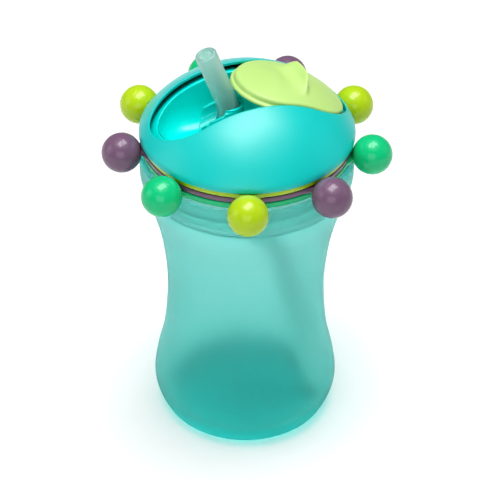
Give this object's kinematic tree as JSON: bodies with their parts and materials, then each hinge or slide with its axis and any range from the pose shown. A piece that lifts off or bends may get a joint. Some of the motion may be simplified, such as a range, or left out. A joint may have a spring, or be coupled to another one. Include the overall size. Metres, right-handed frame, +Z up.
{
  "type": "sippy cup",
  "caption": "Toddler straw cup: waisted frosted cup, domed screw lid with sliding cover and folding straw, and rings of balls that spin round the lid's neck.",
  "frame": {"origin": "centre of the flat underside, on the surface the cup stands on", "axes": "+Z up the cup's axis; -Y is the front that faces the camera; the lid's slot runs 18 degrees from +X towards +Y"},
  "size_m": [0.1149, 0.1136, 0.1766],
  "materials": {
    "frosted_cup": "frosted translucent aqua polypropylene, satin",
    "pad_teal": "matt deep-teal elastomer",
    "lid_teal": "satin moulded teal polypropylene",
    "cover_lime": "satin moulded lime polypropylene",
    "silicone_clear": "milky translucent silicone",
    "ball_mint": "glossy moulded plastic",
    "ball_purple": "glossy moulded plastic",
    "ball_lime": "glossy moulded plastic"
  },
  "bodies": {
    "cup": {"cup_body": "frosted_cup", "base_pad": "pad_teal"},
    "seal_carrier": {"lid_seal": "silicone_clear"},
    "lid": {"lid_base": "lid_teal", "lid_dome": "lid_teal", "screw_collar": "frosted_cup", "spout_base": "silicone_clear", "straw_tube": "silicone_clear", "vent_valve": "silicone_clear"},
    "cover": {"slide_cover": "cover_lime"},
    "straw": {"straw_spout": "silicone_clear"},
    "mint_ring": {"ring_mint": "ball_mint", "ball_mint_1": "ball_mint", "ball_mint_2": "ball_mint", "ball_mint_3": "ball_mint"},
    "lime_ring": {"ring_lime": "ball_lime", "ball_lime_1": "ball_lime", "ball_lime_2": "ball_lime", "ball_lime_3": "ball_lime"},
    "purple_ring": {"ring_purple": "ball_purple", "ball_purple_1": "ball_purple", "ball_purple_2": "ball_purple", "ball_purple_3": "ball_purple"}
  },
  "joints": [
    {"name": "lid_lift", "type": "slide", "parent": "cup", "child": "seal_carrier", "axis": [0, 0, 1], "range_m": [0, 0.00801]},
    {"name": "lid_turn", "type": "hinge", "parent": "seal_carrier", "child": "lid", "pos_m": [0, 0, 0.12], "axis": [0, 0, 1], "range_deg": [0, 360]},
    {"name": "cover_slide", "type": "hinge", "parent": "lid", "child": "cover", "pos_m": [0, 0, 0.1089], "axis": [0.309, -0.9511, 0], "range_deg": [0, 42.4]},
    {"name": "straw_fold", "type": "hinge", "parent": "lid", "child": "straw", "pos_m": [-0.00723, -0.00235, 0.1495], "axis": [0.309, -0.9511, 0], "range_deg": [0, 90], "deforming": ["straw_spout"]},
    {"name": "rings_spin", "type": "hinge", "parent": "lid", "child": "mint_ring", "pos_m": [0, 0, 0.1317], "axis": [0, 0, 1], "continuous": true},
    {"name": "lime_shift", "type": "hinge", "parent": "mint_ring", "child": "lime_ring", "pos_m": [0, 0, 0.1317], "axis": [0, 0, 1], "range_deg": [-21, 10]},
    {"name": "purple_shift", "type": "hinge", "parent": "mint_ring", "child": "purple_ring", "pos_m": [0, 0, 0.1317], "axis": [0, 0, 1], "range_deg": [-10, 19]}
  ],
  "couplings": [
    {"joint": "lid_lift", "follows": "lid_turn", "m_per_rad": 0.0012732},
    {"joint": "straw_fold", "follows": "cover_slide", "ratio": 2.11}
  ]
}
